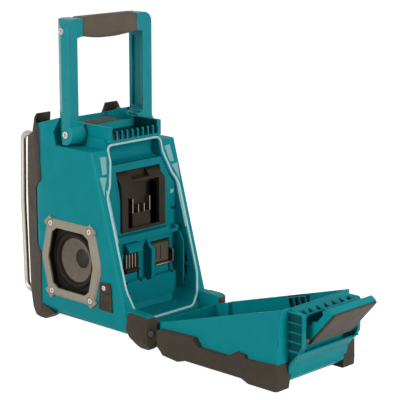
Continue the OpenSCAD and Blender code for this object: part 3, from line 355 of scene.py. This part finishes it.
teal = "008A91"
finishes = {
    "teal_leg": moulding("teal_leg_moulding", teal, 0.32, tone=0.05, grain=0.03, specular=0.22),
    "teal_housing": moulding("teal_housing_moulding", teal, 0.42, tone=0.05, grain=0.035,
                             shade_and_face_boxes=[speaker_well_shade, comb_trough_shade]),
    "teal_bay": moulding("teal_bay_moulding", "017C84", 0.5, tone=0.06, grain=0.04,
                         shade_and_face_boxes=[bay_recess_shade, lower_space_shade]),
    "teal_cover": moulding("teal_cover_moulding", teal, 0.42, tone=0.05, grain=0.035,
                           shade_and_face_boxes=[cover_floor_shade, cheek_side_shade, wall_pocket_shade]),
    # Lighter teal than the other mouldings: painted light, for the lever's lit top
    "teal_lever": moulding("teal_lever_moulding", "008F97", 0.4, tone=0.05, grain=0.035),
    # Pale teal: painted highlight on the plates over the rim's lands, and the colour of the pale
    # wall bracket
    "rim_highlight_and_bracket": moulding("rim_highlight_and_bracket_paint", "86B9BA", 0.42, tone=0.06, grain=0.03),
    "charcoal": moulding("charcoal_elastomer", "413930", 0.66, tone=0.12, grain=0.09,
                         grain_scale=1500, sheen=0.04, specular=0.16),
    "grip": moulding("grip_elastomer", "655B50", 0.62, tone=0.1, grain=0.12, grain_scale=1300,
                     sheen=0.06),
    "graphite": moulding("graphite_moulding", "2C261F", 0.46, tone=0.1, grain=0.03),
    "holder": moulding("holder_moulding", "322A22", 0.44, tone=0.1, grain=0.03,
                       shade_and_face_boxes=[holder_slot_shade]),
    "terminal": moulding("terminal_moulding", "332C25", 0.46, tone=0.1, grain=0.03,
                         shade_and_face_boxes=[terminal_face]),
    "umber": moulding("umber_moulding", "50473C", 0.5, tone=0.08, grain=0.04),
    "stone": moulding("stone_moulding", "A49B8A", 0.48, tone=0.05, grain=0.05,
                      shade_and_face_boxes=[frame_inside_shade]),
    "seal": moulding("seal_rubber", "B4D6D8", 0.55, tone=0.04, grain=0.02),
    # Grey rubber whose green tint is painted reflection of the teal walls round the tray
    "mat": moulding("tray_rubber", "68716A", 0.75, tone=0.08, grain=0.14, grain_scale=1100,
                    sheen=0.06),
    "panel": moulding("panel_gloss", "1D1C1B", 0.2, tone=0.12, grain=0.004, specular=0.4),
    "lcd": moulding("lcd_glass", "55645A", 0.3, tone=0.04, grain=0.0, specular=0.3),
    "keys": moulding("key_rubber", "3A3632", 0.62, tone=0.1, grain=0.05),
    "surround": moulding("surround_rubber", "2A241D", 0.6, tone=0.1, grain=0.05),
    "cap": moulding("dust_cap_rubber", "2C2620", 0.5, tone=0.1, grain=0.04, specular=0.2),
    "basket": moulding("basket_paint", "2B2722", 0.45, tone=0.1, grain=0.02),
    "recess": moulding("recess_shadow_paint", "17130F", 0.7, tone=0.1, grain=0.02),
    "ferrite": moulding("magnet_ferrite", "55585A", 0.6, tone=0.14, grain=0.06),
    "bright": metal("bright_bar", "B5AD9F", 0.36, brush=0.08),
    "zinc": metal("zinc_steel", "C0BEB8", 0.32),
    "dark_zinc": metal("dark_zinc_steel", "4A4742", 0.38),
    "contact": metal("contact_metal", "ADA394", 0.25),
    # Steel kept dark: painted shade, for the shade the spring sits in at the lever's pivot
    "spring": metal("spring_steel", "55524D", 0.35, along=(30, 1, 1)),
    "cone": cone_weave(),
    "lens": lens_plastic(),
    "board": board_laminate(),
}


# ---- The solids with their edges eased ----

same_point = 0.002 * mm
flat_angle, sharp_angle = radians(0.6), radians(28)
rounding_steps = 2
weight_layer = "bevel_weight_edge"
# Faults of a rounded solid: a corner this many widths off it, or a face over so many square metres
# whose direction against it has this cosine
off_solid, least_face, turned_over = 0.75, 2e-8, -0.2
# For each try, how far round a fault, in widths, the next one leaves edges sharp, and how many
# faults may stay
easing_tries = ((2.5, 0), (3, 0), (4, 3), (6, 5), (10, 8), (25, 12))
least_length = 1e-14


def cleaned(mesh, reshape=None):
    """A solid with its doubles merged and its flat triangles joined into convex faces."""
    bm = bmesh.new()
    bm.from_mesh(mesh)
    if reshape:
        for vertex in bm.verts:
            vertex.co = reshape(vertex.co)
    bmesh.ops.remove_doubles(bm, verts=bm.verts, dist=same_point)
    bmesh.ops.dissolve_degenerate(bm, edges=bm.edges, dist=same_point)
    bmesh.ops.dissolve_limit(bm, angle_limit=flat_angle, verts=bm.verts, edges=bm.edges)
    bmesh.ops.connect_verts_concave(bm, faces=bm.faces)
    return bm


def plain_mesh(thing):
    """The evaluated mesh of an object, with its modifiers worked in."""
    graph = bpy.context.evaluated_depsgraph_get()
    return bpy.data.meshes.new_from_object(thing.evaluated_get(graph),
                                           preserve_all_data_layers=True, depsgraph=graph)


def edge_ends(mesh):
    """The two end points of every edge."""
    places = np.empty(len(mesh.vertices) * 3)
    mesh.vertices.foreach_get("co", places)
    pairs = np.empty(len(mesh.edges) * 2, int)
    mesh.edges.foreach_get("vertices", pairs)
    return places.reshape(-1, 3)[pairs.reshape(-1, 2)]


def fault_places(mesh, solid, width):
    """Corners that the rounding threw off the solid, and the middles of faces it turned over."""
    thrown = [v.co for v in mesh.vertices if solid.find_nearest(v.co)[3] > width * off_solid]
    turned = [f.center for f in mesh.polygons if f.area > least_face
              and f.normal.dot(solid.find_nearest(f.center)[1]) < turned_over]
    return thrown + turned


def near_faults(faults, ends, reach):
    """Which of the edges, given by their two ends, pass a fault within reach."""
    first, along = ends[:, 0], ends[:, 1] - ends[:, 0]
    length = np.maximum((along ** 2).sum(axis=1), least_length)
    close = np.zeros(len(ends), bool)
    for fault in faults:
        share = np.clip(((fault - first) * along).sum(axis=1) / length, 0, 1)
        close |= np.linalg.norm(first + share[:, None] * along - fault, axis=1) < reach
    return close


def eased_mesh(name, source, width, reshape=None):
    """Mesh of a solid with its sharp edges rounded by width, but not where that spoils it."""
    bm = cleaned(source, reshape)
    layer = bm.edges.layers.float.new(weight_layer)
    for edge in bm.edges:
        edge[layer] = float(len(edge.link_faces) == 2 and edge.calc_face_angle(0) > sharp_angle)
    base = bpy.data.meshes.new(name)
    bm.to_mesh(base)
    solid = BVHTree.FromBMesh(bm)
    bm.free()
    base.shade_smooth()
    ends = edge_ends(base)
    steep = np.array([weight.value > 0 for weight in base.attributes[weight_layer].data])
    holder = new_object(name, base)
    bevel = holder.modifiers.new("eased_edges", "BEVEL")
    bevel.limit_method = "WEIGHT"
    bevel.width = width
    bevel.segments = rounding_steps
    bevel.use_clamp_overlap = False
    bevel.miter_outer = "MITER_ARC"
    holder.modifiers.new("flat_faces_stay_flat", "WEIGHTED_NORMAL").keep_sharp = True
    kept = steep.copy()
    for reach, allowed in easing_tries:
        base.attributes[weight_layer].data.foreach_set("value", kept.astype(float))
        base.edges.foreach_set("use_edge_sharp", steep & ~kept)
        base.update()
        bpy.context.view_layer.update()
        result = plain_mesh(holder)
        faults = fault_places(result, solid, width)
        if len(faults) <= allowed:
            break
        kept &= ~near_faults(np.array(faults), ends, width * reach)
        bpy.data.meshes.remove(result)
    else:
        base.edges.foreach_set("use_edge_sharp", steep)
        holder.modifiers.remove(bevel)
        result = plain_mesh(holder)
    bpy.data.objects.remove(holder)
    return result


bodies = {node: body for body, nodes in frame["record"]["behaviour"]["bodies"].items()
          for node in nodes}


def fit(name, mesh, finish, node):
    """A finished piece that rides with a node's body."""
    mesh.materials.clear()
    mesh.materials.append(finishes[finish])
    piece = new_object(name, mesh)
    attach(piece, bodies[node])
    return piece


def ease(node, finish, width):
    """Puts a copy with its edges eased by width in mm in the place of a solid."""
    name = node + "_eased"
    mesh = eased_mesh(name, frame["nodes"][node].data, width * mm, reshaped.get(node))
    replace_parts(fit(name, mesh, finish, node), node)


# Slope under a handle leg's collar, where x and z in mm add up to slope_sum, and the step that
# takes its place
leg_inside, collar_in, collar_end = 49.8, 49, 60.5
slope_sum, slope_slack = 451.8, 0.6
step_height, step_fall = 401.7, 0.17


def short_collar(point):
    """Makes the slope a small step, so that the window's corner is almost square."""
    x, z = abs(point.x) / mm, point.z / mm
    if collar_in < x < collar_end and abs(x + z - slope_sum) < slope_slack:
        point = point.copy()
        point.z = (step_height - (x - leg_inside) * step_fall) * mm
    return point


# Hook on the top of a front bumper
hook_back = gauge(0, -133.5, 0).y
hook_foot, hook_fall, hook_share = 280 * mm, 0.1, 0.15


def short_hook(point):
    """Draws the hook forward, to end just behind the front edge."""
    past = point.y - hook_back
    if point.z > hook_foot and past > 0:
        point = point.copy()
        point.z -= past * hook_fall
        point.y = hook_back + past * hook_share
    return point


# The lever pad's face and the finger pocket in it
pad = frame["nodes"]["latch_pad"].data
pad_out = -max(pad.polygons, key=lambda face: face.area).normal
pad_top = max(vertex.co.dot(pad_out) for vertex in pad.vertices)
pocket_half, pocket_low, pocket_high = 26.2 * mm, 0.9 * mm, 1.4 * mm


def flat_pad(point):
    """Brings the finger pocket up flush with the pad's face."""
    depth = pad_top - point.dot(pad_out)
    if abs(point.x) < pocket_half and pocket_low < depth < pocket_high:
        return point + pad_out * depth
    return point


reshaped = {"latch_pad": flat_pad}
for side in ("left", "right"):
    reshaped["handle_leg_" + side] = short_collar
    reshaped["front_bumper_" + side] = short_hook

# Finish of each solid and the width in mm that its edges are eased by
dressed = {
    "main_housing": ("teal_housing", 0.9), "bay_frame": ("teal_bay", 0.4),
    "cover_shell": ("teal_cover", 0.8), "front_panel": ("panel", 0.5),
    "display_lens": ("lens", 0.2), "lcd_module": ("lcd", 0.2), "control_board": ("board", 0.1),
    "keypad": ("keys", 0.3), "tuning_knob": ("graphite", 0.4), "encoder": ("zinc", 0.2),
    "tray_mat": ("mat", 0.4), "rear_foot_screws": ("dark_zinc", 0.2),
    "speaker_frame_screws": ("zinc", 0.2), "cone_surrounds": ("surround", 0.2),
    "speaker_cones": ("cone", 0.2), "dust_caps": ("cap", 0.2), "speaker_magnets": ("ferrite", 0.6),
    "dc_jack": ("graphite", 0.25), "flap_anchor": ("charcoal", 0.4), "jack_flap": ("charcoal", 0.4),
    "flap_screw": ("zinc", 0.2), "bay_gasket": ("seal", 0.5), "main_terminal": ("holder", 0.4),
    "main_contacts": ("contact", 0.1), "small_terminal": ("graphite", 0.3),
    "small_contacts": ("contact", 0.1), "mid_terminal": ("terminal", 0.3),
    "mid_contacts": ("umber", 0.1), "amplifier_board": ("board", 0.2), "handle_tube": ("zinc", 0.3),
    "grip_sleeve": ("grip", 1.4), "handle_washers": ("graphite", 0.3),
    "pivot_screws": ("zinc", 0.3), "grip_screws": ("zinc", 0.2), "hinge_pin": ("zinc", 0.3),
    "latch_lever": ("teal_lever", 0.7), "latch_pad": ("umber", 0.8), "latch_pin": ("zinc", 0.2),
}
for side in ("left", "right"):
    dressed["front_bumper_" + side] = ("charcoal", 1.3)
    dressed["guard_bar_" + side] = ("bright", 0.2)
    dressed["rear_foot_" + side] = ("charcoal", 0.8)
    dressed["speaker_frame_" + side] = ("stone", 0.4)
    dressed["speaker_basket_" + side] = ("basket", 0.3)
    dressed["handle_leg_" + side] = ("teal_leg", 1.1)
    dressed["cover_bumper_" + side] = ("charcoal", 1.2)
for number in range(1, 7):
    dressed["key_%d" % number] = ("keys", 0.5)
for node, (finish, width) in dressed.items():
    ease(node, finish, width)


# ---- Pale plates of painted highlight on the rim, the terminal's clip and the wall bracket ----

rim_foot, rim_lean = 54.9, tan(radians(16.07))


def on_rim(x, z, proud):
    """Point over the leaning rim of the bay, proud of it by so many mm."""
    outward = Vector((0, 1, rim_lean)).normalized()
    return gauge(x, rim_foot - rim_lean * z, z) + outward * proud * mm


def on_wall(x, z, y):
    """Point y mm to the rear of the large terminal's face."""
    return gauge(x, y, z)


def plates(name, outlines, place, low, high, edge=0.25):
    """Mesh of flat plates: each outline stands from low to high over a surface, all in mm."""
    bm = bmesh.new()
    for outline in outlines:
        foot, top = ([bm.verts.new(place(*point, height)) for point in outline]
                     for height in (low, high))
        bm.faces.new(top)
        bm.faces.new(foot[::-1])
        for i in range(len(outline)):
            j = (i + 1) % len(outline)
            bm.faces.new((foot[i], foot[j], top[j], top[i]))
    bmesh.ops.recalc_face_normals(bm, faces=bm.faces)
    mesh = bpy.data.meshes.new(name)
    bm.to_mesh(mesh)
    bm.free()
    return eased_mesh(name, mesh, edge * mm)


# Outlines in x and z
# Pale plates beside the seal: painted highlights where the rim's lands catch the softbox
near_rim_highlights = [
    [(73.2, 220.7), (61.1, 218.9), (67.3, 206.8), (71.3, 195.7)],
    [(67.2, 203), (63.4, 201), (63.2, 188), (63.2, 163), (63.2, 148), (63.4, 134), (66.6, 135.2),
     (67.2, 165.5)],
    [(65.6, 246.2), (54.7, 245.1), (59.6, 223.6), (67.2, 222.9)],
]
far_rim_highlights = [[(-x, z) for x, z in outline] for outline in near_rim_highlights]
clip = [(-50.6, 85.6), (-50.6, 104), (-48.4, 104), (-48.4, 88), (-46, 86.8), (-16, 86.8),
        (-16, 85.6)]
bracket = [(-52.6, 180.4), (-52.6, 186.5), (-59.2, 185.6), (-59.2, 181.6)]
fit("rim_highlight_plates", plates("rim_highlight_plates", near_rim_highlights + far_rim_highlights, on_rim, low=-0.4, high=0.55),
    "rim_highlight_and_bracket", "bay_frame")
fit("terminal_clip", plates("terminal_clip", [clip], on_wall, low=1.6, high=6.6, edge=0.2),
    "contact", "mid_terminal")
fit("wall_bracket", plates("wall_bracket", [bracket], on_wall, low=-3.4, high=-1.9),
    "rim_highlight_and_bracket", "bay_frame")


# ---- Studs and rings that repeat ----

ring_steps, wire_steps, stud_sides, stud_taper = 28, 8, 10, 0.72


def repeat_tree(name, ring):
    """Nodes that set a tapered stud, or a round ring, on every vertex of a mesh."""
    tree = bpy.data.node_groups.new(name, "GeometryNodeTree")
    tree.interface.new_socket("Geometry", in_out="OUTPUT", socket_type="NodeSocketGeometry")
    kinds = {"Geometry": "Geometry", "Radius": "Float", "Height": "Float", "Turn": "Vector",
             "Finish": "Material"}
    inputs = {label: tree.interface.new_socket(label, in_out="INPUT",
                                               socket_type="NodeSocket" + kind).identifier
              for label, kind in kinds.items()}
    given = new_node(tree, "NodeGroupInput", {}).outputs
    if ring:
        loop, wire = (
            new_node(tree, "GeometryNodeCurvePrimitiveCircle",
                     {"Resolution": steps, "Radius": radius})
            for steps, radius in ((ring_steps, given["Radius"]), (wire_steps, given["Height"])))
        shape = new_node(tree, "GeometryNodeCurveToMesh", {
            "Curve": loop.outputs["Curve"], "Profile Curve": wire.outputs["Curve"]})
    else:
        shape = new_node(tree, "GeometryNodeMeshCone", {
            "Vertices": stud_sides, "Radius Bottom": given["Radius"], "Depth": given["Height"],
            "Radius Top": node_math(tree, "MULTIPLY", given["Radius"], stud_taper)})
    stand = new_node(tree, "GeometryNodeInstanceOnPoints", {
        "Points": given["Geometry"], "Instance": shape.outputs[0], "Rotation": given["Turn"]})
    real = new_node(tree, "GeometryNodeRealizeInstances", {0: stand.outputs[0]})
    paint = new_node(tree, "GeometryNodeSetMaterial", {
        "Geometry": real.outputs[0], "Material": given["Finish"]})
    new_node(tree, "NodeGroupOutput", {0: paint.outputs[0]})
    return tree, inputs


trees = {"stud": repeat_tree("stud_rows", False), "ring": repeat_tree("screw_rings", True)}


def repeat(name, kind, places, finish, node, radius, height, turn=(0, 0, 0)):
    """A piece of equal studs or rings, with their radius and height in mm, one at each place."""
    points = bpy.data.meshes.new(name)
    points.from_pydata(places, [], [])
    holder = new_object(name, points)
    tree, inputs = trees[kind]
    rows = holder.modifiers.new("rows", "NODES")
    rows.node_group = tree
    for label, value in (("Radius", radius * mm), ("Height", height * mm), ("Turn", turn),
                         ("Finish", finishes[finish])):
        rows[inputs[label]] = value
    bpy.context.view_layer.update()
    mesh = plain_mesh(holder)
    holder.modifiers.remove(rows)
    bpy.data.objects.remove(holder)
    fit(name, mesh, finish, node)


sideways, rearward = (0, radians(90), 0), (radians(-90), 0, 0)

# Staggered studs over the mat, apart from its rear edge and a bare round place
columns, rows_deep, pitch = 20, 11, 4.1
side_gap, front_gap, rear_gap = 4.6, 4.4, 3
bare_x, bare_y, bare_radius = 20, -67, 10
mat_low, mat_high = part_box("tray_mat")
bare_place = gauge(bare_x, bare_y, mat_high[2] / mm)
studs = [(mat_low[0] + (side_gap + pitch * i) * mm,
          mat_low[1] + (front_gap + pitch * j + pitch / 2 * (i % 2)) * mm, mat_high[2])
         for i in range(columns) for j in range(rows_deep)]
studs = [stud for stud in studs if stud[1] < mat_high[1] - rear_gap * mm
         and (Vector(stud) - bare_place).length > bare_radius * mm]
repeat("mat_studs", "stud", studs, "mat", "tray_mat", radius=1.25, height=0.9)

# Dark rings of painted shade round the screws in the speaker frames' lugs, four to a side
lug_x, lug_y, lug_z = 80.75, -62.5, 97
lug_along, lug_up = 39.1, 48
lugs = [gauge(s * lug_x, lug_y + lug_along * a, lug_z + lug_up * b)
        for s in (-1, 1) for a in (-1, 1) for b in (-1, 1)]
repeat("lug_screw_shade_rings", "ring", lugs, "recess", "speaker_frame_left", radius=4.7, height=0.38,
       turn=sideways)

# Small hole in the bay's wall, with a raised ring; the hole is a dark disc of painted shade, proud
# of the wall
hole_x, hole_z, hole_y, ring_y = -60.8, 158.8, -3.0, -2.9
repeat("wall_hole_ring", "ring", [gauge(hole_x, ring_y, hole_z)], "teal_bay", "bay_frame",
       radius=2.7, height=0.45, turn=rearward)
repeat("wall_hole", "stud", [gauge(hole_x, hole_y, hole_z)], "recess", "bay_frame",
       radius=2.5, height=0.3, turn=rearward)

spring = frame["nodes"]["latch_spring"]
spring.data.materials.clear()
spring.data.materials.append(finishes["spring"])
